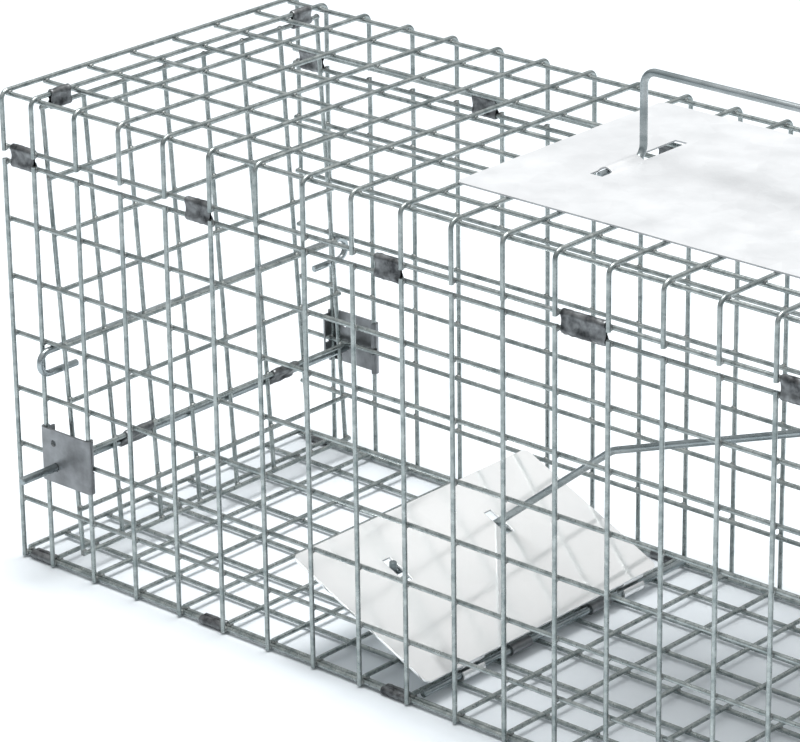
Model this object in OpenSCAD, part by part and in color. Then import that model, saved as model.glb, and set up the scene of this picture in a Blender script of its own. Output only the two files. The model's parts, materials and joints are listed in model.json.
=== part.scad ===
// Live catch trap: a welded wire cage with a tread plate, a trigger rod, a front door that
// drops and a rear door for bait. X runs along the cage (rear door at -X, mouth at +X),
// Y across it and Z up. The floor clips stand on Z = 0.

/* [Mesh] */
// Pitch of the welded mesh
cell = 25.4; // [20:0.1:30]
// Full cells along the cage, between the two narrow end cells
cells_long = 23; // [15:1:31]
// Width of the narrow cell at each end
end_gap = 17.5; // [10:0.5:25]
// Cells across the cage
cells_wide = 7; // [5:1:11]
// Diameter of the mesh wire
wire_d = 2; // [1.6:0.1:3]
// Depth one wire sinks into the other at a weld
weld = 0.3; // [0.1:0.05:0.6]

/* [Cover] */
// Depth of the cover's side flanges, from the top down to their last wire
flange_h = 23.9; // [15:0.1:40]
// Distance between the two wires that a seam clip holds
seam_gap = 6.35; // [4:0.05:10]
// Radius of the bend along the cover's edges
cover_bend = 3.5; // [3:0.1:8]

/* [Clips] */
// Sheet thickness of the clips
clip_t = 1; // [0.6:0.1:1.5]
// Length of an ordinary clip along its wires
clip_len = 13; // [8:0.5:15]
// Length of the middle clip on each seam
long_clip_len = 21; // [15:0.5:22]

/* [Guard plate and handle] */
// Length of the hand guard plate
guard_len = 178; // [120:1:240]
// Width of the hand guard plate
guard_w = 127; // [80:1:160]
// Offset of the hand guard plate across the cage
guard_y = 6.5; // [-20:0.1:20]
// Diameter of the handle rod
handle_d = 3.2; // [2.6:0.1:5]
// Distance between the handle's legs
handle_span = 103.6; // [80:0.1:140]
// Height of the handle's bar over the cover
handle_h = 36; // [30:0.5:60]

/* [Doors] */
// Inward lean of both closed doors, in degrees
door_lean = 3.64; // [0:0.01:8]
// Diameter of the lock rod of the rear door
lock_rod_d = 3.5; // [3:0.1:5]
// Diameter of the rods that the closed doors lean on
stop_rod_d = 3; // [2:0.1:4]
// Thickness of the front door sheet
door_t = 1; // [0.7:0.1:1.6]

/* [Tread plate] */
// Slope of the raised tread plate, in degrees
tread_slope = 25; // [10:0.1:30]
// Length of the tread plate from its hinge to the raised edge
tread_len = 80; // [60:1:120]
// Width of the tread plate
tread_w = 146; // [100:1:160]
// Diameter of the trigger rod
trigger_d = 3.2; // [2.5:0.1:4]

/* [Hidden] */
$fn = 32;

e = 0.01;
r_w = wire_d / 2;
layer = wire_d - weld;
x_end = (cells_long * cell + 2 * end_gap) / 2;
y_wall = cells_wide * cell / 2;
y_row = y_wall - layer;
y_floor = y_row - wire_d - 0.3;
y_slope = y_wall - 2.2;
z_row = r_w + 0.05 + clip_t;
z_cross = z_row + layer;
z_seam = z_row + cells_wide * cell;
z_flange = z_seam + seam_gap;
z_top = z_flange + flange_h;
z_long = z_top - layer;
z_tread = z_cross + r_w;

// The lock rod stands out on one side, so the cage sits a little off the middle
lock_out = 22.1;
stop_bend = 5;
stop_stub = 16;
stop_y = y_row + r_w + 1;
y_mid = (y_wall + lock_out - (stop_y + stop_bend + stop_rod_d / 2)) / 2;

steel = [0.72, 0.74, 0.75];
sheet = [0.8, 0.81, 0.82];
dark = [0.55, 0.57, 0.58];

// Place of cross wire i along the cage: 0 and cells_long + 2 are the ends
function cross_x(i) = i == 0 ? -x_end : (i == cells_long + 2 ? x_end
    : -x_end + end_gap + (i - 1) * cell);
last_cross = cells_long + 2;

// Wires along the floor and cover: even pitch, the outer ones drawn in to y_edge
function long_y(j, y_edge) = j == 0 ? -y_edge : (j == cells_wide ? y_edge
    : -y_wall + j * cell);

// Clips sit in every fourth cell of the cage and in the end cells, drawn in to the middle
clip_cells = [for (i = [4 : 4 : cells_long - 1]) if (i != (cells_long + 1) / 2) i];
clip_shift = 4.8;
clip_end = x_end - end_gap / 2 - 1;
clip_x = concat([-clip_end], [for (i = clip_cells) let (m = (cross_x(i) + cross_x(i + 1)) / 2)
    m - sign(m) * clip_shift], [clip_end]);

// Guard plate and handle
foot_y = guard_y + 5;
foot_z = z_long + r_w + handle_d / 2 + 0.1;
plate_z = z_top + r_w + 0.05;
plate_t = 0.9;
arch_r = handle_d / 2 + 0.1;

// Doors
hinge_clip_y = 72.5;
x_hinge = x_end - end_gap;
z_rear = z_long - 2 * r_w - 1;
door_rows = 7;
door_pitch = 24.5;
door_first = 29.8;
door_drop = 197;
door_cols = [-3.25, -2.325, -1.395, -0.465, 0.465, 1.395, 2.325, 3.25];
hinge_rod_r = 2;
z_front = z_long - r_w - hinge_rod_r - 1.8;
front_drop = 198;
front_half_w = 84;
knuckle_r = hinge_rod_r + 0.1;
spring_wire = 1.2;
spring_r = 3.2;

// Lock rod of the rear door, on its outer side and under one of its cross wires
lock_row = 6;
lock_gap = 3.9;
lock_s = door_first + (lock_row - 1) * door_pitch + lock_gap;
lock_in = -(r_w + 0.3 + lock_rod_d / 2);
lock_plate_z = [42, 66];
lock_x = -x_hinge + lock_s * sin(door_lean) + lock_in * cos(door_lean);
lock_z = z_rear - lock_s * cos(door_lean) + lock_in * sin(door_lean);

// Stop rods
stop_z = z_row + 4 * cell - r_w - stop_rod_d / 2 - 0.1;
rear_stop_x = -x_hinge + (z_rear - stop_z) * tan(door_lean)
    - (r_w + 0.3 + stop_rod_d / 2) / cos(door_lean);
sill_h = 12;
sill_half_w = 84;
sill_tabs = [-50.8, 0, 50.8];
sill_x = x_hinge - (z_front - z_tread - sill_h) * tan(door_lean)
    - (hinge_rod_r + 0.1) / cos(door_lean) + 0.4;

// Tread plate and trigger
strap_t = 0.8;
tread_x = -84.5;
pivot_r = 1.5;
tread_z = z_row + r_w + pivot_r + 0.1;
tread_lift = 5.6;
tread_t = 1.1;
tread_y = -11.5;
tread_slot = 60;
arm_x = -132.2;
arm_z = 31;
arm_y = [-48.3, 15];
bend_x = -69;
bend_z = 81.8;
tip_x = 110;
tip_z = 145;
hang_x = 63.5;

module in_cage() {
    translate([0, y_mid, 0]) children();
}

module rod_x(x0, x1, y, z, d) {
    translate([x0, y, z]) rotate([0, 90, 0]) cylinder(d = d, h = x1 - x0);
}

module rod_y(x, y0, y1, z, d) {
    translate([x, y0, z]) rotate([-90, 0, 0]) cylinder(d = d, h = y1 - y0);
}

module rod_z(x, y, z0, z1, d) {
    translate([x, y, z0]) cylinder(d = d, h = z1 - z0);
}

// Rod between two points of the XZ plane at y
module rod_xz(p, q, y, d) {
    dx = q[0] - p[0];
    dz = q[1] - p[1];
    translate([p[0], y, p[1]]) rotate([0, atan2(dx, dz), 0])
        cylinder(d = d, h = sqrt(dx * dx + dz * dz));
}

// Part of a ring of round wire about Z, starting at +X
module bend(r, d, angle) {
    rotate_extrude(angle = angle) translate([r, 0]) circle(d = d);
}

// Closed band round two parallel wires that lie one above the other
module band(r_low, r_high, gap, len) {
    rotate([90, 0, 0]) translate([0, 0, -len / 2]) linear_extrude(height = len)
        difference() {
            band_outline(r_low + clip_t, r_high + clip_t, gap);
            band_outline(r_low, r_high, gap);
        }
}

module band_outline(r_low, r_high, gap) {
    tilt = asin((r_low - r_high) / gap);
    circle(r = r_low);
    translate([0, gap]) circle(r = r_high);
    polygon([[r_low * cos(tilt), r_low * sin(tilt)],
        [r_high * cos(tilt), gap + r_high * sin(tilt)],
        [-r_high * cos(tilt), gap + r_high * sin(tilt)],
        [-r_low * cos(tilt), r_low * sin(tilt)]]);
}

module side_mesh() {
    for (i = [0 : last_cross]) rod_z(cross_x(i), y_wall, z_row - r_w - 0.2, z_seam + r_w + 0.4, wire_d);
    for (k = [0 : cells_wide]) rod_x(-x_end - r_w, x_end + r_w, y_row, z_row + k * cell, wire_d);
}

module cover_flange() {
    for (i = [0 : last_cross]) {
        rod_z(cross_x(i), y_wall, z_flange - r_w - 0.4, z_top - cover_bend, wire_d);
        translate([cross_x(i), y_wall - cover_bend, z_top - cover_bend])
            rotate([90, 0, 90]) bend(cover_bend, wire_d, 90);
    }
    rod_x(-x_end - r_w, x_end + r_w, y_row, z_flange, wire_d);
}

module floor_mesh() {
    color(steel) in_cage() {
        for (i = [0 : last_cross])
            rod_y(cross_x(i), -y_floor - r_w, y_floor + r_w, z_cross, wire_d);
        for (j = [0 : cells_wide])
            rod_x(-x_end - r_w, x_end + r_w, long_y(j, y_floor), z_row, wire_d);
    }
}

module near_side_mesh() {
    color(steel) in_cage() mirror([0, 1, 0]) side_mesh();
}

module far_side_mesh() {
    color(steel) in_cage() side_mesh();
}

module cover_top_mesh() {
    color(steel) in_cage() {
        for (i = [0 : last_cross])
            rod_y(cross_x(i), -y_wall + cover_bend, y_wall - cover_bend, z_top, wire_d);
        for (j = [0 : cells_wide])
            rod_x(-x_end - r_w, x_end + r_w, long_y(j, y_slope - 2), z_long, wire_d);
    }
}

module cover_near_flange() {
    color(steel) in_cage() mirror([0, 1, 0]) cover_flange();
}

module cover_far_flange() {
    color(steel) in_cage() cover_flange();
}

module seam_clip(len) {
    rotate([0, 0, 90]) band(r_w + 0.05, r_w + 0.05, seam_gap, len);
}

module seam_clips() {
    color(dark) in_cage() for (s = [-1, 1], x = clip_x)
        translate([x, s * y_row, z_seam]) seam_clip(clip_len);
}

module seam_middle_clips() {
    color(dark) in_cage() for (s = [-1, 1])
        translate([0, s * y_row, z_seam]) seam_clip(long_clip_len);
}

// Flat clips that hold the floor's outer wire to the side's lowest wire
module floor_clips() {
    w = y_row - y_floor + 2 * (r_w + 0.05 + clip_t);
    h = 2 * z_row;
    color(dark) in_cage() for (s = [-1, 1], x = concat(clip_x, [0]))
        translate([x - clip_len / 2, s * (y_row + y_floor) / 2, h / 2]) difference() {
            translate([0, -w / 2, -h / 2]) cube([clip_len, w, h]);
            translate([-e, -w / 2 + clip_t, -h / 2 + clip_t])
                cube([clip_len + 2 * e, w - 2 * clip_t, h - 2 * clip_t]);
        }
}

module guard_plate() {
    color(sheet) in_cage() {
        difference() {
            union() {
                translate([-guard_len / 2, guard_y - guard_w / 2, plate_z])
                    cube([guard_len, guard_w, plate_t]);
                for (s = [-1, 1]) translate([s * handle_span / 2, foot_y - 23, foot_z])
                    rotate([-90, 0, 0]) cylinder(r = arch_r + plate_t, h = 19);
            }
            for (s = [-1, 1]) {
                translate([s * handle_span / 2, foot_y - 29, foot_z])
                    rotate([-90, 0, 0]) cylinder(r = arch_r, h = 53);
                translate([s * handle_span / 2 - arch_r, foot_y - 29, plate_z - 5])
                    cube([2 * arch_r, 53, foot_z - plate_z + 5]);
                translate([s * handle_span / 2 - 4, foot_y - 29, plate_z - 5])
                    cube([8, 53, 5]);
                for (y = [[-29, -23], [-4, 24]])
                    translate([s * handle_span / 2 - 3, foot_y + y[0], plate_z - e])
                        cube([6, y[1] - y[0], plate_t + 2 * e]);
            }
        }
        for (s = [-1, 1], t = [-1, 1]) translate([s * (guard_len / 2 - 12), t * 1.5 * cell, 0])
            guard_tab();
    }
}

// Tab pressed out of the guard plate that hooks under a wire of the cover
module guard_tab() {
    translate([-4, r_w + 0.2, z_long - r_w - 0.1 - plate_t])
        cube([8, plate_t, plate_z - z_long + r_w + 0.1 + plate_t + e]);
    translate([-4, -r_w, z_long - r_w - 0.1 - plate_t])
        cube([8, 2 * r_w + 0.2 + plate_t, plate_t]);
}

module handle_half() {
    r = 6;
    top = plate_z + handle_h;
    x = handle_span / 2;
    rod_y(x, foot_y - 27, foot_y - r, foot_z, handle_d);
    translate([x, foot_y - r, foot_z + r]) rotate([0, 90, 0]) bend(r, handle_d, 90);
    rod_z(x, foot_y, foot_z + r, top - r, handle_d);
    translate([x - r, foot_y, top - r]) rotate([90, 0, 0]) bend(r, handle_d, 90);
    rod_x(0, x - r, foot_y, top, handle_d);
}

module carry_handle() {
    color(steel) in_cage() {
        handle_half();
        mirror([1, 0, 0]) handle_half();
    }
}

module rear_hinge_clips() {
    color(dark) in_cage() for (s = [-1, 1]) translate([-x_hinge, s * hinge_clip_y, z_rear])
        band(r_w + 0.1, r_w + 0.05, z_top - z_rear, 11);
}

// Rod across one end of the cage, its tips bent down round a wire of each side
module stop_rod(x) {
    rod_y(x, -stop_y, stop_y, stop_z, stop_rod_d);
    for (s = [0, 1]) mirror([0, s, 0]) {
        translate([x, stop_y, stop_z - stop_bend]) rotate([0, 90, 0])
            bend(stop_bend, stop_rod_d, 180);
        rod_y(x, stop_y - stop_stub, stop_y, stop_z - 2 * stop_bend, stop_rod_d);
    }
}

module rear_stop_rod() {
    color(steel) in_cage() stop_rod(rear_stop_x);
}

// Low angle across the mouth that the closed front door leans on
module front_sill() {
    z0 = z_cross + r_w + 0.05;
    x1 = cross_x(last_cross - 1);
    r = r_w + 0.05;
    color(sheet) in_cage() difference() {
        union() {
            translate([sill_x, -sill_half_w, z0]) cube([x1 - sill_x, 2 * sill_half_w, strap_t]);
            translate([sill_x, -sill_half_w, z0]) cube([strap_t, 2 * sill_half_w, sill_h]);
            for (y = sill_tabs) rod_y(x1, y - 6, y + 6, z_cross, 2 * (r + strap_t));
        }
        rod_y(x1, -y_wall, y_wall, z_cross, 2 * r);
        for (y = sill_tabs) translate([x1 - 5, y - 7, z_cross - 5]) cube([5, 14, 5 + r_w]);
    }
}

// Plate on the outside of a side mesh, its edges rolled round two upright wires and one
// of them turned inward as a leaf
module lock_plate() {
    x0 = cross_x(1);
    x1 = cross_x(2);
    y0 = y_wall + r_w + 0.05;
    h = lock_plate_z[1] - lock_plate_z[0];
    difference() {
        union() {
            translate([x0, y0, lock_plate_z[0]]) cube([x1 - x0, clip_t, h]);
            for (x = [x0, x1]) translate([x, y_wall, lock_plate_z[0]]) difference() {
                cylinder(r = r_w + 0.05 + clip_t, h = h);
                translate([0, 0, -e]) cylinder(r = r_w + 0.05, h = h + 2 * e);
                translate([x == x0 ? 0 : -5, -5, -e]) cube([5, 5 + r_w, h + 2 * e]);
            }
            translate([x0 - clip_t, y_wall - 5, lock_plate_z[0] + 3])
                cube([clip_t, 5 - r_w - 0.3, h - 4]);
        }
        translate([x0 - 5, y_row - 3, z_row + 2 * cell - r_w - 0.6])
            cube([x1 - x0 + 10, 4.4, 2 * r_w + 1.2]);
        rod_y(lock_x, y_wall, y_wall + 5, lock_z, lock_rod_d + 0.4);
        rod_y(x0 + 6, y_wall, y_wall + 5, lock_plate_z[1] - 6, 3);
    }
}

module near_lock_plate() {
    color(sheet) in_cage() mirror([0, 1, 0]) lock_plate();
}

module far_lock_plate() {
    color(sheet) in_cage() lock_plate();
}

// Children drawn on the rear door: X is inward, Z up, the origin is its hinge wire
module on_rear_door() {
    in_cage() translate([-x_hinge, 0, z_rear]) rotate([0, -door_lean, 0]) children();
}

module rear_door_mesh() {
    color(steel) on_rear_door() {
        for (c = door_cols)
            rod_z(0, c * cell, -door_drop - r_w - 0.2, r_w - 0.6, wire_d);
        rod_y(0, -door_cols[7] * cell - r_w, door_cols[7] * cell + r_w, 0, wire_d);
        for (z = concat([for (k = [1 : door_rows]) door_first + (k - 1) * door_pitch], [door_drop]))
            rod_y(layer, -door_cols[7] * cell - r_w, door_cols[7] * cell + r_w, -z, wire_d);
    }
}

module rear_door_clips() {
    dx = lock_in - layer;
    color(dark) on_rear_door() for (y = [-1.81, 1.78]) translate([lock_in, y * cell, -lock_s])
        rotate([0, -atan2(dx, lock_gap), 0])
            band(lock_rod_d / 2 + 0.1, r_w + 0.05, sqrt(dx * dx + lock_gap * lock_gap), 16);
}

module rear_lock_rod() {
    color(steel) in_cage() rod_y(lock_x, -y_wall - lock_out, y_wall + r_w + 2.6, lock_z, lock_rod_d);
}

module front_hinge_rod() {
    color(steel) in_cage() rod_y(x_hinge, -y_row + r_w + 0.4, y_row - r_w - 0.4, z_front,
        2 * hinge_rod_r);
}

module front_hinge_clips() {
    color(dark) in_cage() for (s = [-1, 1]) translate([x_hinge, s * hinge_clip_y, z_front])
        band(hinge_rod_r + 0.05, r_w + 0.05, z_top - z_front, 11);
}

// Children drawn on the front door: X is outward, Z up, the origin is its hinge axis
module on_front_door() {
    in_cage() translate([x_hinge, 0, z_front]) rotate([0, door_lean, 0]) children();
}

module front_door_sheet() {
    bead_r = 2.4;
    color(sheet) on_front_door() {
        difference() {
            union() {
                translate([-knuckle_r - door_t, -front_half_w, -front_drop])
                    cube([door_t, 2 * front_half_w, front_drop - 7]);
                for (y = [-2 * cell, 0, 2 * cell]) {
                    translate([-knuckle_r - door_t, y - 7, -8]) cube([door_t, 14, 8]);
                    rod_y(0, y - 7, y + 7, 0, 2 * (knuckle_r + door_t));
                }
                for (z = [-150, -50])
                    rod_y(-knuckle_r, -66, 66, z, 2 * bead_r);
                for (s = [-1, 1])
                    translate([-knuckle_r - 2 * door_t, s * (front_half_w - 3) - 3, -front_drop])
                        cube([door_t + e, 6, front_drop - 9]);
                translate([-knuckle_r - 2 * door_t, -front_half_w, -front_drop])
                    cube([door_t + e, 2 * front_half_w, 7]);
            }
            rod_y(0, -y_wall, y_wall, 0, 2 * knuckle_r);
            for (z = [-150, -50]) {
                rod_y(-knuckle_r, -65, 65, z, 2 * (bead_r - door_t));
                translate([-knuckle_r - door_t - 5, -y_wall, z - 5])
                    cube([5, 2 * y_wall - 20, 10]);
            }
        }
    }
}

// Coils round the hinge rod, each with the leg that bears on the door
module door_springs() {
    color(dark) on_front_door() for (s = [-1, 1]) translate([0, s * cell, 0]) {
        rotate([90, 0, 0]) rotate_extrude() for (k = [-4 : 4])
            translate([spring_r, k * 1.1]) circle(d = spring_wire);
        rod_xz([-spring_r - 0.4, 0], [-knuckle_r - door_t - spring_wire / 2 - 0.1, -38],
            s * 4.4, spring_wire);
    }
}

// Fixed ends of the springs, hooked over a cross wire of the cover
module spring_anchors() {
    hook = r_w + spring_wire / 2 + 0.1;
    x = cross_x(last_cross - 2);
    z = z_front + spring_r;
    color(dark) in_cage() for (s = [-1, 1]) translate([0, s * (cell + 6), 0]) {
        rod_x(x + hook, x_hinge - r_w - 0.8, 0, z, spring_wire);
        rod_z(x + hook, 0, z, z_top, spring_wire);
        translate([x + hook, 0, z]) sphere(d = spring_wire + 0.1);
        translate([x, 0, z_top]) rotate([90, 0, 0]) bend(hook, spring_wire, 180);
    }
}

module tread_pivot_rod() {
    color(steel) in_cage() rod_y(tread_x, -84, 84, tread_z, 2 * pivot_r);
}

// Straps rolled round the pivot rod and round a cross wire of the floor behind it
module tread_pivot_straps() {
    x0 = cross_x(8);
    wire_r = r_w + 0.05;
    color(dark) in_cage() for (y = [-25.4, 25.4]) translate([0, y - 6, 0]) difference() {
        union() {
            translate([x0, 0, z_cross + wire_r]) cube([tread_x - x0, 12, strap_t]);
            rod_y(tread_x, 0, 12, tread_z, 2 * (pivot_r + 0.1 + strap_t));
            difference() {
                rod_y(x0, 0, 12, z_cross, 2 * (wire_r + strap_t));
                translate([x0, -e, z_cross - 5]) cube([5, 12 + 2 * e, 5 + r_w]);
            }
        }
        rod_y(x0, -e, 12 + e, z_cross, 2 * wire_r);
        rod_y(tread_x, -e, 12 + e, tread_z, 2 * (pivot_r + 0.1));
    }
}

// Children drawn on the tread plate: X runs back from the hinge along the plate
module on_tread() {
    in_cage() translate([tread_x, 0, tread_z]) rotate([0, tread_slope, 0]) children();
}

module tread_plate() {
    color(sheet) on_tread() difference() {
        translate([-tread_len, tread_y - tread_w / 2, tread_lift])
            cube([tread_len, tread_w, tread_t]);
        for (y = arm_y) translate([-tread_slot, y - 2.2, tread_lift - e])
            cube([14, 4.4, tread_t + 2 * e]);
    }
}

// Tabs turned down from the tread plate's front edge and rolled round the pivot rod
module tread_hinges() {
    r = pivot_r + 0.1;
    color(sheet) on_tread() for (y = [-55.5, 46.5]) difference() {
        union() {
            rod_y(0, y - 6.5, y + 6.5, 0, 2 * (r + tread_t));
            translate([-tread_t, y - 6.5, r]) cube([tread_t, 13, tread_lift - r]);
        }
        rod_y(0, y - 7.5, y + 7.5, 0, 2 * r);
    }
}

module trigger_rod() {
    d = trigger_d;
    color(steel) in_cage() {
        rod_z(arm_x, arm_y[0], arm_z, arm_z + 5, d);
        translate([arm_x, arm_y[0], arm_z]) sphere(d = d + 0.1);
        rod_y(arm_x, arm_y[0], arm_y[1], arm_z, d);
        translate([arm_x, arm_y[1], arm_z]) sphere(d = d + 0.1);
        rod_xz([arm_x, arm_z], [bend_x, bend_z], arm_y[1], d);
        translate([bend_x, arm_y[1], bend_z]) sphere(d = d + 0.1);
        rod_xz([bend_x, bend_z], [tip_x, tip_z], arm_y[1], d);
    }
}

// Wire stirrup welded under the cover that carries the trigger rod
module trigger_hanger() {
    d = 2.4;
    half = 6;
    r = 3;
    foot = 18;
    rod_here = tip_z + (hang_x - tip_x) * (tip_z - bend_z) / (tip_x - bend_x);
    low = rod_here - trigger_d / 2 - d / 2 - 0.7;
    high = z_long - r_w - d / 2 - 0.05;
    color(steel) in_cage() translate([hang_x, arm_y[1], 0]) {
        for (s = [0, 1]) mirror([0, s, 0]) {
            rod_z(0, half, low + r, high - r, d);
            translate([0, half - r, low + r]) rotate([0, 90, 0]) bend(r, d, 90);
            translate([0, half + r, high - r]) mirror([0, 1, 0]) rotate([0, -90, 0]) bend(r, d, 90);
            rod_y(0, half + r, half + r + foot, high, d);
        }
        rod_y(0, -half + r, half - r, low, d);
    }
}

floor_mesh();
near_side_mesh();
far_side_mesh();
cover_top_mesh();
cover_near_flange();
cover_far_flange();
seam_clips();
seam_middle_clips();
floor_clips();
guard_plate();
carry_handle();
rear_hinge_clips();
rear_stop_rod();
near_lock_plate();
far_lock_plate();
rear_door_mesh();
rear_door_clips();
rear_lock_rod();
front_hinge_rod();
front_hinge_clips();
front_sill();
front_door_sheet();
door_springs();
spring_anchors();
tread_pivot_rod();
tread_pivot_straps();
tread_plate();
tread_hinges();
trigger_rod();
trigger_hanger();
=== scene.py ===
# Looks of the live catch trap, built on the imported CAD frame. Lengths are millimetres, measured as in
# the CAD source from the cage's own middle plane, up to Shape.build, which turns them into metres.
import json
import math
import bpy
from mathutils import Matrix, Vector, noise


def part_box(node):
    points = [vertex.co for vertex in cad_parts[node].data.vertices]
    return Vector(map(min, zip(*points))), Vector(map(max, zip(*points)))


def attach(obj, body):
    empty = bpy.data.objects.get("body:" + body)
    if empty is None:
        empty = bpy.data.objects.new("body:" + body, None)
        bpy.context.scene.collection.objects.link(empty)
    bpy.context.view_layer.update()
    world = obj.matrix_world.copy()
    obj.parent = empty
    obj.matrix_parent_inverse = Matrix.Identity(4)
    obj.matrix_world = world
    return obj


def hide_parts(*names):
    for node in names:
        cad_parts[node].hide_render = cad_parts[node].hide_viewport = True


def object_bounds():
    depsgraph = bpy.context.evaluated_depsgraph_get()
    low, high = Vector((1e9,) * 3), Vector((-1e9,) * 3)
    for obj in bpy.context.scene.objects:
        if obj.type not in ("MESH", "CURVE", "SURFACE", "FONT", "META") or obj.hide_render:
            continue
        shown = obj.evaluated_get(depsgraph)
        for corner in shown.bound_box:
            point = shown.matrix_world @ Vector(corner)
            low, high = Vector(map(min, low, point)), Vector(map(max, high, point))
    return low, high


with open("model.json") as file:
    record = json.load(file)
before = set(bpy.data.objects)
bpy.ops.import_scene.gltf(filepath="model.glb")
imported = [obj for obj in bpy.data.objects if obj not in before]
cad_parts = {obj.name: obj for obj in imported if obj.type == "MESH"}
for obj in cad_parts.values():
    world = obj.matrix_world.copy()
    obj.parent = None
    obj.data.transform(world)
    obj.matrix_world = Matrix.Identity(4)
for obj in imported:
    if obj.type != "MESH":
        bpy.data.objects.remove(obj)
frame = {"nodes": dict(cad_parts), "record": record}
box_at_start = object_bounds()

MM = 0.001
CELL = 25.4
CELLS_LONG = 23
CELLS_WIDE = 7
END_GAP = 17.5
R_WIRE = 1.0
LAYER = 1.7
X_END = (CELLS_LONG * CELL + 2 * END_GAP) / 2
X_HINGE = X_END - END_GAP
Y_WALL = CELLS_WIDE * CELL / 2
Y_ROW = Y_WALL - LAYER
Y_FLOOR = Y_ROW - 2.3
Y_COVER = Y_WALL - 4.2
Z_ROW = 2.05
Z_CROSS = Z_ROW + LAYER
SEAM_GAP = 6.35
Z_SEAM = Z_ROW + CELLS_WIDE * CELL
Z_FLANGE = Z_SEAM + SEAM_GAP
Z_TOP = Z_FLANGE + 23.9
Z_LONG = Z_TOP - LAYER
Y_MID = sum(corner.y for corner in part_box("floor_mesh")) / 2 / MM

# Clips
CLIP_T = 1.0
CLIP_LEN = 13.0
LONG_CLIP_LEN = 21.0
HINGE_CLIP_LEN = 11.0
HINGE_CLIP_Y = 72.5
DOOR_CLIP_LEN = 16.0
DOOR_CLIP_CELLS = (-1.81, 1.78)
CLIP_SHIFT = 4.8
BORE = 0.05

# Doors
LEAN = math.radians(3.64)
Z_REAR = Z_LONG - 3.0
Z_FRONT = Z_LONG - 4.8
DOOR_COLS = [-3.25, -2.325, -1.395, -0.465, 0.465, 1.395, 2.325, 3.25]
DOOR_FIRST = 29.8
DOOR_PITCH = 24.5
DOOR_ROWS = [0.0] + [DOOR_FIRST + DOOR_PITCH * k for k in range(7)] + [197.0]
LOCK_ROW_S = DOOR_ROWS[6]
LOCK_S = LOCK_ROW_S + 3.9
LOCK_R = 1.75
LOCK_IN = -(R_WIRE + 0.3 + LOCK_R)
LOCK_OUT = 22.1
STOP_R = 1.5
STOP_BEND = 5.0
STOP_STUB = 16.0
HINGE_ROD_R = 2.0
SPRING_R = 3.2
SPRING_PITCH = 1.1
SPRING_TURNS = 8
SPRING_LEG = 38.0

# Guard plate and handle
PLATE_T = 0.9
PLATE_Z = Z_TOP + R_WIRE + 0.05
GUARD_X = 89.0
GUARD_Y = (-57.0, 70.0)
FOOT_Y = 11.5
FOOT_Z = Z_LONG + R_WIRE + 1.7
LEG_X = 51.8
HANDLE_TOP = PLATE_Z + 36.0
ARCH_Y = (FOOT_Y - 23, FOOT_Y - 4)
ARCH_HALF = 4.6
ARCH_RISE = 1.75
SLOT_HALF = 3
SLOTS_Y = [(FOOT_Y - 29, ARCH_Y[0]), (ARCH_Y[1], FOOT_Y + 24)]
CORNER_R = 3.0
CORNER_STEPS = [0.4, 0.9, 1.5, 2.2, CORNER_R]

# Tread and trigger
TREAD_X = -84.5
TREAD_Z = 4.65
TREAD_SLOPE = math.radians(25)
TREAD_LEN = 80.0
TREAD_Y = (-84.5, 61.5)
TREAD_T = 1.1
TREAD_MID = 5.6 + TREAD_T / 2
TREAD_SLOT = (-60, -46)
TREAD_SLOT_HALF = 2.2
TREAD_TABS = [(-62.0, -49.0), (40.0, 53.0)]
PIVOT_BORE = 1.6
TRIGGER_R = 1.6
ARM_Y = (-48.3, 15.0)
ARM_X = -132.2
ARM_Z = 31.0
BEND_X = -69.0
BEND_Z = 81.8
TIP_X = 110.0
TIP_Z = 145.0

# Camera and studio, in metres
CAMERA_AT = (0.88095, -1.15293, 0.72236)
CAMERA_BACK = (0.623294, -0.68787, 0.371939)
CAMERA_RIGHT = (0.744378, 0.667638, -0.012686)
LENS = 182.47
SOFTBOX_AT = (-0.12, 0.1, 1.9)
SOFTBOX_SIZE = (1.1, 0.8)
SOFTBOX_POWER = 42.0
SKY_STRENGTH = 0.72
FLOOR_SIZE = 30.0


def cross_x(i):
    """Place of cross wire i along the cage; the first and last stand at its ends."""
    if i == 0:
        return -X_END
    if i == CELLS_LONG + 2:
        return X_END
    return -X_END + END_GAP + (i - 1) * CELL


def long_y(j, edge):
    """Place of lengthwise wire j across the floor or cover, its outer ones drawn in to edge."""
    if j == 0:
        return -edge
    if j == CELLS_WIDE:
        return edge
    return -Y_WALL + j * CELL


# ---------------------------------------------------------------- materials

def node(tree, kind, **inputs):
    """New shader node with those constants set on its sockets."""
    n = tree.nodes.new(kind)
    for key, value in inputs.items():
        n.inputs[key.replace("_", " ")].default_value = value
    return n


def ramp(tree, source, stops):
    """Colour ramp driven by source, from (place, colour) pairs."""
    n = tree.nodes.new("ShaderNodeValToRGB")
    while len(n.color_ramp.elements) < len(stops):
        n.color_ramp.elements.new(0.5)
    for element, (place, colour) in zip(n.color_ramp.elements, stops):
        element.position = place
        element.color = (*colour, 1)
    tree.links.new(source, n.inputs["Fac"])
    return n


def grey(value):
    return (value, value, value)


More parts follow.
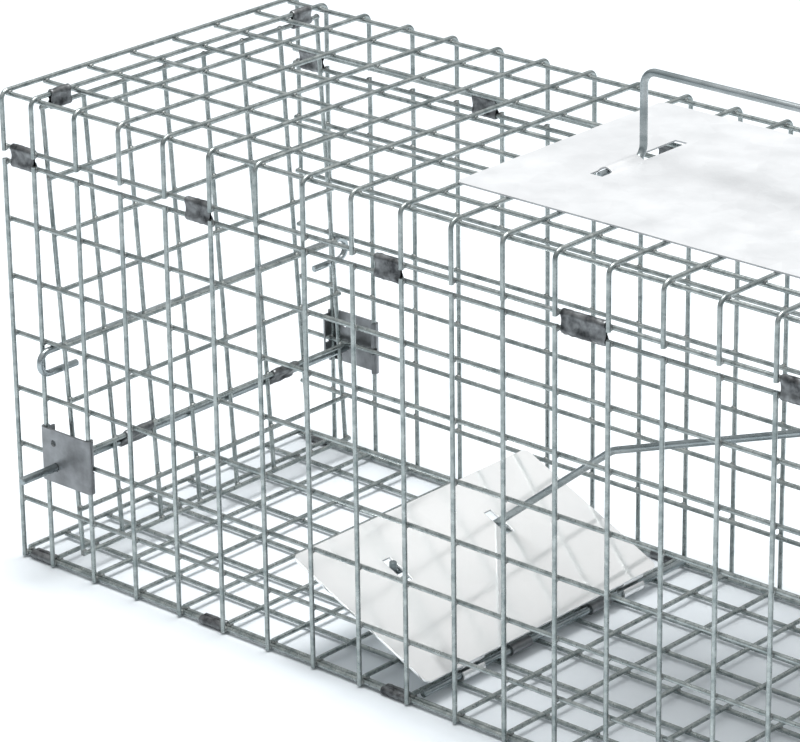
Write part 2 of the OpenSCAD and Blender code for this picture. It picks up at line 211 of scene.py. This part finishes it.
def steel(name, dark, light, metallic, rough, blotch, bump, streak=(1, 1, 1), spangle=None):
    """Zinc coated steel: two tints in soft blotches, uneven roughness and a fine grain.

    streak stretches the blotches, and spangle is (cells to the metre, depth) of a crystal pattern."""
    mat = bpy.data.materials.new(name)
    mat.use_nodes = True
    tree = mat.node_tree
    shader = tree.nodes["Principled BSDF"]
    shader.inputs["Metallic"].default_value = metallic
    place = tree.nodes.new("ShaderNodeTexCoord").outputs["Object"]
    stretch = tree.nodes.new("ShaderNodeMapping")
    stretch.inputs["Scale"].default_value = streak
    tree.links.new(place, stretch.inputs["Vector"])
    clouds = node(tree, "ShaderNodeTexNoise", Scale=blotch, Detail=6.0, Roughness=0.62)
    tree.links.new(stretch.outputs["Vector"], clouds.inputs["Vector"])
    tint = ramp(tree, clouds.outputs["Fac"], [(0.32, dark), (0.68, light)])
    colour = tint.outputs["Color"]
    if spangle:
        size, strength = spangle
        cells = node(tree, "ShaderNodeTexVoronoi", Scale=size)
        tree.links.new(place, cells.inputs["Vector"])
        tone = ramp(tree, cells.outputs["Color"], [(0.0, grey(1 - strength)), (1.0, grey(1.0))])
        mix = tree.nodes.new("ShaderNodeMix")
        mix.data_type = "RGBA"
        mix.blend_type = "MULTIPLY"
        mix.inputs[0].default_value = 1.0
        tree.links.new(colour, mix.inputs[6])
        tree.links.new(tone.outputs["Color"], mix.inputs[7])
        colour = mix.outputs[2]
    tree.links.new(colour, shader.inputs["Base Color"])
    worn = node(tree, "ShaderNodeTexNoise", Scale=blotch * 2.7, Detail=5.0)
    tree.links.new(stretch.outputs["Vector"], worn.inputs["Vector"])
    span = node(tree, "ShaderNodeMapRange", From_Min=0.3, From_Max=0.7,
                To_Min=rough[0], To_Max=rough[1])
    tree.links.new(worn.outputs["Fac"], span.inputs["Value"])
    tree.links.new(span.outputs["Result"], shader.inputs["Roughness"])
    fine = node(tree, "ShaderNodeTexNoise", Scale=2200.0, Detail=3.0)
    tree.links.new(place, fine.inputs["Vector"])
    relief = node(tree, "ShaderNodeBump", Strength=bump, Distance=0.0002)
    tree.links.new(fine.outputs["Fac"], relief.inputs["Height"])
    tree.links.new(relief.outputs["Normal"], shader.inputs["Normal"])
    return mat


WIRE = steel("wire_zinc", (0.20, 0.235, 0.235), (0.44, 0.475, 0.465), 0.90, (0.22, 0.42), 230.0,
             bump=0.12)
ROD = steel("rod_zinc", (0.22, 0.26, 0.27), (0.46, 0.50, 0.51), 0.92, (0.20, 0.36), 150.0,
            bump=0.08, streak=(0.25, 0.25, 1.0))
PLATE = steel("plate_zinc", (0.56, 0.57, 0.58), (0.64, 0.65, 0.66), 0.35, (0.38, 0.52), 24.0,
              bump=0.03, spangle=(110.0, 0.07))
TREAD = steel("tread_zinc", (0.90, 0.91, 0.91), (0.95, 0.955, 0.95), 0.55, (0.05, 0.10), 20.0,
              bump=0.012, spangle=(90.0, 0.03))
# Dark zinc that is painted shade: given to the tread pivot straps under the tread and to the lock
# plates, so that they read as shade.
SHADE_ZINC = steel("painted_shade_zinc", (0.16, 0.165, 0.17), (0.29, 0.30, 0.31), 0.85, (0.32, 0.48), 90.0,
              bump=0.06)
CLIP = steel("clip_zinc", (0.035, 0.037, 0.04), (0.26, 0.27, 0.275), 0.85, (0.28, 0.50), 190.0,
             bump=0.16)
WELD = steel("weld_zinc", (0.15, 0.16, 0.16), (0.40, 0.42, 0.41), 0.85, (0.36, 0.58), 500.0,
             bump=0.18)


# ---------------------------------------------------------------- shapes

class Shape:
    """Vertices and faces, gathered from several pieces of the same kind."""

    def __init__(self):
        self.verts = []
        self.faces = []

    def add(self, verts, faces):
        start = len(self.verts)
        self.verts.extend(verts)
        self.faces.extend(tuple(i + start for i in face) for face in faces)

    def build(self, name, body, slot, material, replaced=(), angle=38):
        mesh = bpy.data.meshes.new(name)
        """Makes the piece, held inside the CAD box, and hides the CAD nodes that it stands for."""
        low, high = box_at_start
        points = [(v[0] * MM, (v[1] + Y_MID) * MM, v[2] * MM) for v in self.verts]
        inside = [tuple(min(max(c, a), b) for c, a, b in zip(p, low, high)) for p in points]
        mesh.from_pydata(inside, [], self.faces)
        mesh.validate()
        mesh.update()
        mesh.polygons.foreach_set("use_smooth", [True] * len(mesh.polygons))
        mesh.set_sharp_from_angle(angle=math.radians(angle))
        mesh.materials.append(material)
        obj = bpy.data.objects.new(name, mesh)
        bpy.context.scene.collection.objects.link(obj)
        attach(obj, body)
        if replaced:
            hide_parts(*replaced)
        return obj


def loft(rings, closed=False):
    """Faces between rings of points; a closed loft joins the last ring to the first."""
    n = len(rings[0])
    verts = [p for ring in rings for p in ring]
    faces = []
    count = len(rings) if closed else len(rings) - 1
    for k in range(count):
        a, b = k * n, ((k + 1) % len(rings)) * n
        for i in range(n):
            j = (i + 1) % n
            faces.append((a + i, a + j, b + j, b + i))
    if not closed:
        faces.append(tuple(reversed(range(n))))
        faces.append(tuple(range((len(rings) - 1) * n, len(rings) * n)))
    return verts, faces


def rounded(points, radius, steps=10):
    """The path with an arc of that radius at each corner."""
    points = [Vector(p) for p in points]
    path = [points[0]]
    for before, here, after in zip(points, points[1:], points[2:]):
        a, b = (before - here).normalized(), (after - here).normalized()
        turn = math.pi - a.angle(b)
        if turn < 1e-4:
            continue
        room = 0.49 * min((before - here).length, (after - here).length)
        reach = min(radius * math.tan(turn / 2), room)
        r = reach / math.tan(turn / 2)
        middle = here + (a + b).normalized() * (r / math.cos(turn / 2))
        start, end = here + a * reach - middle, here + b * reach - middle
        for k in range(steps + 1):
            t = k / steps
            mixed = start * math.sin((1 - t) * turn) + end * math.sin(t * turn)
            path.append(middle + mixed / math.sin(turn))
    path.append(points[-1])
    return path


def tube(points, r, sides=20, bevel=0.3):
    """Round rod along a path, its ends chamfered."""
    path = [Vector(p) for p in points]
    along = [(b - a).normalized() for a, b in zip(path, path[1:])]
    tangents = [along[0]] + [(a + b).normalized() for a, b in zip(along, along[1:])] + [along[-1]]
    side = tangents[0].orthogonal().normalized()
    rings = []
    for p, t in zip(path, tangents):
        side = (side - t * side.dot(t)).normalized()
        other = t.cross(side)
        rings.append([(p, side * math.cos(a) + other * math.sin(a))
                      for a in (2 * math.pi * i / sides for i in range(sides))])
    solid = [[p + d * r for p, d in ring] for ring in rings]
    first = [p + d * (r - bevel) for p, d in rings[0]]
    last = [p + d * (r - bevel) for p, d in rings[-1]]
    solid[0] = [q + tangents[0] * bevel for q in solid[0]]
    solid[-1] = [q - tangents[-1] * bevel for q in solid[-1]]
    return loft([first] + solid + [last])


def peanut(gap, r_low, r_high, off, pinch, n=10):
    """Section of a band squeezed round two wires, as (side, up, nearness to the waist)."""
    section = []
    for k in range(n):
        a = math.pi + math.pi * k / n
        section.append(((r_low + off) * math.cos(a), (r_low + off) * math.sin(a), 0.0))
    for side in (1, -1):
        for k in range(n):
            s = k / n if side == 1 else 1 - k / n
            wide = r_low + (r_high - r_low) * s
            waist = wide * (1 - pinch * math.sin(math.pi * s) ** 1.3) + off
            section.append((side * waist, gap * s, math.sin(math.pi * s)))
        if side == 1:
            for k in range(n):
                a = math.pi * k / n
                r = r_high + off
                section.append((r * math.cos(a), gap + r * math.sin(a), 0.0))
    return section


def clip(shape, origin, wire, up, gap, r_low, r_high, length, pinch=0.45):
    """Steel strip crimped round two parallel wires, dented where the tool squeezed it."""
    origin, wire, up = Vector(origin), Vector(wire), Vector(up)
    side = wire.cross(up)
    stations = [(-0.5, -0.35), (-0.475, -0.06), (-0.44, 0)]
    stations += [(-0.5 + k / 12, 0) for k in range(1, 12)]
    stations += [(0.44, 0), (0.475, -0.06), (0.5, -0.35)]
    rings = []
    for outer in (True, False):
        inner = [(t, 0.12 if abs(t) == 0.5 else 0) for t, _ in reversed(stations)]
        order = stations if outer else inner
        off = CLIP_T - 0.03 if outer else 0.04
        for t, trim in order:
            ring = []
            squeeze = pinch * (1 + 0.45 * math.cos(4 * math.pi * t))
            for x, z, waist in peanut(gap, r_low, r_high, off, squeeze):
                at = origin + wire * (t * length) + side * x + up * z
                push = 0.0
                if outer:
                    push = trim + 0.30 * (noise.noise(at * 0.5) - 0.5)
                    if waist > 0.93 and x < 0:
                        push -= 0.4
                centre = origin + wire * (t * length) + up * min(max(z, 0.0), gap)
                way = at - centre
                ring.append(at + way.normalized() * push if way.length > 0.05 else at)
            rings.append(ring)
    shape.add(*loft(rings, closed=True))


def sheet(shape, us, vs, at, keep=None):
    """One surface over a grid of (u, v); cells whose middle keep() refuses are left out."""
    index, verts, faces = {}, [], []

    def corner(i, j):
        if (i, j) not in index:
            index[i, j] = len(verts)
            verts.append(at(us[i], vs[j]))
        return index[i, j]

    for i in range(len(us) - 1):
        for j in range(len(vs) - 1):
            if keep and not keep((us[i] + us[i + 1]) / 2, (vs[j] + vs[j + 1]) / 2):
                continue
            faces.append((corner(i, j), corner(i + 1, j), corner(i + 1, j + 1), corner(i, j + 1)))
    shape.add(verts, faces)


def thicken(obj, thickness, bevel):
    solid = obj.modifiers.new("thickness", "SOLIDIFY")
    solid.thickness = thickness * MM
    solid.offset = 0
    solid.use_even_offset = True
    edge = obj.modifiers.new("edge", "BEVEL")
    edge.width = bevel * MM
    edge.segments = 2
    edge.limit_method = "ANGLE"
    edge.angle_limit = math.radians(50)
    obj.modifiers.new("shading", "WEIGHTED_NORMAL").keep_sharp = True


def lines(low, high, step, *extra):
    """Grid lines from low to high, with the extra ones put in."""
    count = max(1, round((high - low) / step))
    made = {round(low + (high - low) * k / count, 4) for k in range(count + 1)}
    made |= {round(x, 4) for x in extra if low < x < high}
    kept = []
    for x in sorted(made):
        if kept and x - kept[-1] < 0.12:
            if x in extra:
                kept[-1] = x
            continue
        kept.append(x)
    return kept


def round_corner(x, y, x0, x1, y0, y1, r):
    """The point moved so that the rectangle gets round corners."""
    cx = x0 + r if x < x0 + r else (x1 - r if x > x1 - r else None)
    cy = y0 + r if y < y0 + r else (y1 - r if y > y1 - r else None)
    if cx is None or cy is None:
        return x, y
    a, b = (x - cx) / r, (y - cy) / r
    return cx + r * a * math.sqrt(1 - b * b / 2), cy + r * b * math.sqrt(1 - a * a / 2)


# ---------------------------------------------------------------- welds of the mesh

def weld(shape, centre, a, b, seed):
    """Squeezed spot weld between two crossing wires that run along a and b."""
    centre, a, b = Vector(centre), Vector(a), Vector(b)
    c = a.cross(b)
    grow = 1 + 0.12 * noise.noise(Vector((seed * 1.7, 3.1, 0.4)))
    rings, n = [], 12
    for k in range(1, 6):
        polar = math.pi * k / 6
        ring = []
        for i in range(n):
            turn = 2 * math.pi * i / n
            way = a * math.cos(turn) * 1.55 + b * math.sin(turn) * 1.55
            p = way * math.sin(polar) + c * (1.02 * math.cos(polar))
            wobble = 1 + 0.14 * noise.noise(p * 0.9 + Vector((seed * 2.3, 0, 0)))
            ring.append(centre + p * grow * wobble)
        rings.append(ring)
    shape.add(*loft(rings))


def make_welds():
    along, across, up = (1, 0, 0), (0, 1, 0), (0, 0, 1)
    floor_z = (Z_ROW + Z_CROSS) / 2
    cover_z = (Z_TOP + Z_LONG) / 2
    side_y = (Y_WALL + Y_ROW) / 2
    cage = Shape()
    seed = 0
    for i in range(CELLS_LONG + 3):
        x = cross_x(i)
        for j in range(CELLS_WIDE + 1):
            seed += 1
            weld(cage, (x, long_y(j, Y_FLOOR), floor_z), along, across, seed)
            weld(cage, (x, long_y(j, Y_COVER), cover_z), along, across, seed + 0.5)
            for s in (-1, 1):
                weld(cage, (x, s * side_y, Z_ROW + j * CELL), along, up, seed + 0.25 * s)
        for s in (-1, 1):
            weld(cage, (x, s * side_y, Z_FLANGE), along, up, seed + 0.3 * s)
    cage.build("cage_welds", "cage", "mesh_wire", WELD, angle=60)
    door = Shape()
    down = (math.sin(LEAN), 0, -math.cos(LEAN))
    for c in DOOR_COLS:
        for s in DOOR_ROWS:
            x = 0.0 if s == 0.0 else LAYER / 2
            seed += 1
            weld(door, on_door(x, c * CELL, -s), across, down, seed)
    door.build("rear_door_welds", "rear_door", "mesh_wire", WELD, angle=60)


def on_door(x, y, z):
    """A point of the rear door, from its hinge wire, as a point of the trap."""
    return (-X_HINGE + x * math.cos(LEAN) - z * math.sin(LEAN), y,
            Z_REAR + z * math.cos(LEAN) + x * math.sin(LEAN))


# ---------------------------------------------------------------- clips

def clip_places():
    """Where the seam and floor clips sit along the cage, the middle one left out."""
    places = [X_END - END_GAP / 2 - 1]
    for i in (16, 20):
        places.append((cross_x(i) + cross_x(i + 1)) / 2 - CLIP_SHIFT)
    return [s * x for x in places for s in (-1, 1)]


def make_clips():
    seam, middle, low, rear, front, door = (Shape() for _ in range(6))
    along, across, up = (1, 0, 0), (0, 1, 0), (0, 0, 1)
    r = R_WIRE + BORE
    for s in (-1, 1):
        for x in clip_places():
            clip(seam, (x, s * Y_ROW, Z_SEAM), along, up, SEAM_GAP, r, r, CLIP_LEN)
        clip(middle, (0, s * Y_ROW, Z_SEAM), along, up, SEAM_GAP, r, r, LONG_CLIP_LEN)
        for x in clip_places() + [0.0]:
            clip(low, (x, s * Y_FLOOR, Z_ROW), along, (0, s, 0), Y_ROW - Y_FLOOR, r, r, CLIP_LEN,
                 pinch=0.12)
        y = s * HINGE_CLIP_Y
        clip(rear, (-X_HINGE, y, Z_REAR), across, up, Z_TOP - Z_REAR, R_WIRE + 2 * BORE, r,
             HINGE_CLIP_LEN, pinch=0.3)
        clip(front, (X_HINGE, y, Z_FRONT), across, up, Z_TOP - Z_FRONT, HINGE_ROD_R + BORE, r,
             HINGE_CLIP_LEN, pinch=0.25)
    seam.build("crimped_seam_clips", "cage", "clip_steel", CLIP, ["seam_clips"])
    middle.build("crimped_middle_clips", "cage", "clip_steel", CLIP, ["seam_middle_clips"])
    low.build("crimped_floor_clips", "cage", "clip_steel", CLIP, ["floor_clips"])
    rear.build("crimped_rear_hinge_clips", "cage", "clip_steel", CLIP, ["rear_hinge_clips"])
    front.build("crimped_front_hinge_clips", "cage", "clip_steel", CLIP, ["front_hinge_clips"])
    for cells in DOOR_CLIP_CELLS:
        start = Vector(on_door(LOCK_IN, cells * CELL, -LOCK_S))
        reach = Vector(on_door(LAYER, cells * CELL, -LOCK_ROW_S)) - start
        clip(door, start, across, reach.normalized(), reach.length, LOCK_R + 2 * BORE, r,
             DOOR_CLIP_LEN, pinch=0.3)
    door.build("crimped_rear_door_clips", "rear_door", "clip_steel", CLIP, ["rear_door_clips"])


# ---------------------------------------------------------------- guard plate

def make_guard_plate():
    x0, x1 = -GUARD_X, GUARD_X
    y0, y1 = GUARD_Y
    level = PLATE_Z + PLATE_T / 2
    sides = [0.8, 1.6, 2.3, SLOT_HALF, 3.8, ARCH_HALF, 6]
    marks = [s * LEG_X + t * d for s in (-1, 1) for d in [0] + sides for t in (-1, 1)]
    us = lines(x0, x1, 6.0, *marks, *[x0 + d for d in CORNER_STEPS], *[x1 - d for d in CORNER_STEPS])
    cuts = [y for pair in SLOTS_Y for y in pair]
    cuts += [ARCH_Y[0] + 1, ARCH_Y[1] - 1, ARCH_Y[0] - 1.4, ARCH_Y[1] + 1.4]
    vs = lines(y0, y1, 6.0, *cuts, *[y0 + d for d in CORNER_STEPS], *[y1 - d for d in CORNER_STEPS])

    def at(x, y):
        z = level
        for s in (-1, 1):
            d = abs(x - s * LEG_X)
            if d < ARCH_HALF and ARCH_Y[0] <= y <= ARCH_Y[1]:
                z += ARCH_RISE * (0.5 + 0.5 * math.cos(math.pi * d / ARCH_HALF))
        z -= 0.28 * abs(noise.noise(Vector((x * 0.018, y * 0.022, 2.0))))
        px, py = round_corner(x, y, x0, x1, y0, y1, CORNER_R)
        return px, py, z

    def keep(x, y):
        return not any(abs(abs(x) - LEG_X) < SLOT_HALF and a < y < b for a, b in SLOTS_Y)

    plate = Shape()
    sheet(plate, us, vs, at, keep)
    for s in (-1, 1):
        for t in (-1, 1):
            under = Z_LONG - 1.55
            path = rounded([(0, 1.65, level - 0.1), (0, 1.65, under), (0, -0.9, under)], 0.8, 5)
            mid = Vector((s * 77.0, t * 1.5 * CELL, 0))
            sheet(plate, [-4, -1.3, 1.3, 4], list(range(len(path))),
                  lambda u, v: tuple(path[v] + mid + Vector((u, 0, 0))))
    obj = plate.build("pressed_guard_plate", "cage", "sheet_steel", PLATE, ["guard_plate"])
    thicken(obj, PLATE_T - 0.1, 0.18)


# ---------------------------------------------------------------- tread

def on_tread(x, y, z):
    """A point of the raised tread plate, from its pivot, as a point of the trap."""
    return (TREAD_X + x * math.cos(TREAD_SLOPE) + z * math.sin(TREAD_SLOPE), y,
            TREAD_Z - x * math.sin(TREAD_SLOPE) + z * math.cos(TREAD_SLOPE))


def make_tread():
    y0, y1 = TREAD_Y
    us = lines(-TREAD_LEN, 0.0, 5.0, *TREAD_SLOT, *[-TREAD_LEN + d for d in CORNER_STEPS],
               -3, -2.2, -1.5, -0.9, -0.4)
    cuts = [y + d for y in ARM_Y for d in (-TREAD_SLOT_HALF, TREAD_SLOT_HALF)]
    cuts += [y for pair in TREAD_TABS for y in pair]
    vs = lines(y0, y1, 6.0, *cuts, *[y0 + d for d in CORNER_STEPS], *[y1 - d for d in CORNER_STEPS])

    def at(u, v):
        x, y = round_corner(u, v, -TREAD_LEN, 0.0, y0, y1, CORNER_R)
        sag = 0.12 * noise.noise(Vector((x * 0.02, y * 0.016, 5.0)))
        return on_tread(x, y, TREAD_MID + sag * min(1.0, -x / 10))

    def keep(u, v):
        in_slot = any(abs(v - y) < TREAD_SLOT_HALF for y in ARM_Y)
        return not (in_slot and TREAD_SLOT[0] < u < TREAD_SLOT[1])

    plate = Shape()
    sheet(plate, us, vs, at, keep)
    roll = PIVOT_BORE + TREAD_T / 2
    top = TREAD_MID - 0.02
    for a, b in TREAD_TABS:
        path = rounded([(-2.6, 0, top), (-0.6, 0, top), (-0.6, 0, 3.6),
                        (-roll, 0, 1.9), (-roll, 0, 0.0)], 1.3, 6)
        path += [Vector((-roll * math.cos(t), 0, -roll * math.sin(t)))
                 for t in (math.pi * 1.42 * k / 22 for k in range(1, 23))]
        sheet(plate, lines(a, b, 3.0), list(range(len(path))),
              lambda u, v: on_tread(path[v].x, u, path[v].z))
    obj = plate.build("bent_tread_plate", "tread", "sheet_steel", TREAD,
                      ["tread_plate", "tread_hinges"], angle=70)
    thicken(obj, TREAD_T - 0.08, 0.2)


# ---------------------------------------------------------------- rods and springs

def make_trigger_rod():
    foot = (ARM_X, ARM_Y[1], ARM_Z)
    knee = (BEND_X, ARM_Y[1], BEND_Z)
    arm = rounded([(ARM_X, ARM_Y[0], ARM_Z + 5), (ARM_X, ARM_Y[0], ARM_Z), foot, knee], 3.4)
    reach = rounded([foot, knee, (TIP_X, ARM_Y[1], TIP_Z)], 14.0, 14)
    rod = Shape()
    rod.add(*tube(arm[:-1] + reach[1:], TRIGGER_R))
    rod.build("bent_trigger_rod", "trigger", "rod_steel", ROD, ["trigger_rod"])


def make_lock_rod():
    x, _, z = on_door(LOCK_IN, 0, -LOCK_S)
    rod = Shape()
    rod.add(*tube([(x, -Y_WALL - LOCK_OUT, z), (x, Y_WALL + 3.6, z)], LOCK_R, 24, 0.5))
    rod.build("drawn_lock_rod", "lock_rod", "rod_steel", ROD, ["rear_lock_rod"])


def make_stop_rod():
    """Straight rod whose ends turn down and back in a U outside each wall."""
    lo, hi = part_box("rear_stop_rod")
    x = (lo.x + hi.x) / 2 / MM
    z = hi.z / MM - STOP_R
    y = Y_ROW + 2.0
    path = [(x, 0, z)]
    for s in (1, -1):
        half = [(x, s * (y + STOP_BEND * math.sin(t)), z - STOP_BEND + STOP_BEND * math.cos(t))
                for t in (math.pi * k / 16 for k in range(17))]
        half.append((x, s * (y - STOP_STUB), z - 2 * STOP_BEND))
        path = path + half if s == 1 else list(reversed(half)) + path
    rod = Shape()
    rod.add(*tube(path, STOP_R - 0.03))
    rod.build("hooked_stop_rod", "cage", "rod_steel", ROD, ["rear_stop_rod"])


def make_handle():
    half = [(LEG_X, FOOT_Y - 27, FOOT_Z), (LEG_X, FOOT_Y, FOOT_Z), (LEG_X, FOOT_Y, HANDLE_TOP)]
    path = rounded(half + [(-p[0], p[1], p[2]) for p in reversed(half)], 6.0, 12)
    rod = Shape()
    rod.add(*tube(path, 1.58, 24, 0.4))
    rod.build("bent_carry_handle", "cage", "rod_steel", ROD, ["carry_handle"])


def make_springs():
    """Two coils round the front hinge rod, each ending in a leg down the door."""
    down = Vector((-math.sin(LEAN), 0, -math.cos(LEAN)))
    inward = Vector((-math.cos(LEAN), 0, math.sin(LEAN)))
    steps = 24
    half = SPRING_TURNS * SPRING_PITCH / 2
    springs = Shape()
    for s in (-1, 1):
        base = Vector((X_HINGE, s * CELL, Z_FRONT))
        coil = []
        for k in range(SPRING_TURNS * steps + 1):
            a = math.pi + 2 * math.pi * k / steps
            y = s * (SPRING_PITCH * k / steps - half)
            coil.append(base + Vector((SPRING_R * math.cos(a), y, SPRING_R * math.sin(a))))
        coil.append(base + inward * 3.8 + down * SPRING_LEG + Vector((0, s * half, 0)))
        springs.add(*tube(coil, 0.54, 10, 0.15))
    springs.build("coiled_door_springs", "front_door", "rod_steel", ROD, ["door_springs"])


# ---------------------------------------------------------------- finishes of the CAD parts

def paint_frame():
    """Gives the CAD nodes that stay in view the finish of their slot; the lock plates and tread pivot
    straps get a dark zinc instead, which is painted shade.
    """
    finish = {
        "mesh_wire": WIRE,
        "rod_steel": ROD,
        "sheet_steel": PLATE,
        "clip_steel": CLIP,
    }
    # The lock plates and tread pivot straps get the dark zinc that is painted shade.
    in_painted_shade = {"near_lock_plate": SHADE_ZINC, "far_lock_plate": SHADE_ZINC, "tread_pivot_straps": SHADE_ZINC}
    slots = {row["node"]: row["material_slot"] for row in frame["record"]["subparts"]}
    for name, obj in frame["nodes"].items():
        material = in_painted_shade.get(name, finish[slots[name]])
        for place in obj.material_slots:
            place.material = material
        if not obj.material_slots:
            obj.data.materials.append(material)


# ---------------------------------------------------------------- studio

def make_floor():
    bpy.ops.mesh.primitive_plane_add(size=1.0)
    floor = bpy.context.object
    floor.name = "floor"
    floor.scale = (FLOOR_SIZE, FLOOR_SIZE, 1)
    mat = bpy.data.materials.new("paper")
    mat.use_nodes = True
    shader = mat.node_tree.nodes["Principled BSDF"]
    shader.inputs["Base Color"].default_value = (0.80, 0.845, 0.88, 1)
    shader.inputs["Roughness"].default_value = 0.9
    shader.inputs["Specular IOR Level"].default_value = 0.1
    floor.data.materials.append(mat)


def make_sky():
    """Pale surroundings, darker near the horizon so that round wires show a shaded side."""
    world = bpy.data.worlds.new("studio")
    bpy.context.scene.world = world
    world.use_nodes = True
    tree = world.node_tree
    back = tree.nodes["Background"]
    place = tree.nodes.new("ShaderNodeTexCoord").outputs["Generated"]
    split = tree.nodes.new("ShaderNodeSeparateXYZ")
    tree.links.new(place, split.inputs["Vector"])
    stops = [(0.0, (0.42, 0.46, 0.48)), (0.22, (0.50, 0.54, 0.56)), (0.5, (0.98, 0.99, 1.0)),
             (1.0, (1, 1, 1))]
    shade = ramp(tree, split.outputs["Z"], stops)
    tree.links.new(shade.outputs["Color"], back.inputs["Color"])
    back.inputs["Strength"].default_value = SKY_STRENGTH


def make_light():
    light = bpy.data.lights.new("softbox", "AREA")
    light.shape = "RECTANGLE"
    light.size, light.size_y = SOFTBOX_SIZE
    light.energy = SOFTBOX_POWER
    lamp = bpy.data.objects.new("softbox", light)
    lamp.location = SOFTBOX_AT
    lamp.rotation_euler = (Vector((0, 0, 0.1)) - lamp.location).to_track_quat("-Z", "Y").to_euler()
    bpy.context.scene.collection.objects.link(lamp)
    bpy.context.scene.view_settings.view_transform = "Standard"


def make_camera():
    data = bpy.data.cameras.new("camera")
    data.sensor_width = 36.0
    data.lens = LENS
    data.clip_end = 50.0
    cam = bpy.data.objects.new("camera", data)
    bpy.context.scene.collection.objects.link(cam)
    back = Vector(CAMERA_BACK).normalized()
    right = Vector(CAMERA_RIGHT)
    right = (right - back * right.dot(back)).normalized()
    turn = Matrix((right, back.cross(right), back)).transposed().to_4x4()
    cam.matrix_world = Matrix.Translation(CAMERA_AT) @ turn
    bpy.context.scene.camera = cam


make_welds()
make_clips()
make_guard_plate()
make_tread()
make_trigger_rod()
make_lock_rod()
make_stop_rod()
make_handle()
make_springs()
paint_frame()
make_floor()
make_sky()
make_light()
make_camera()
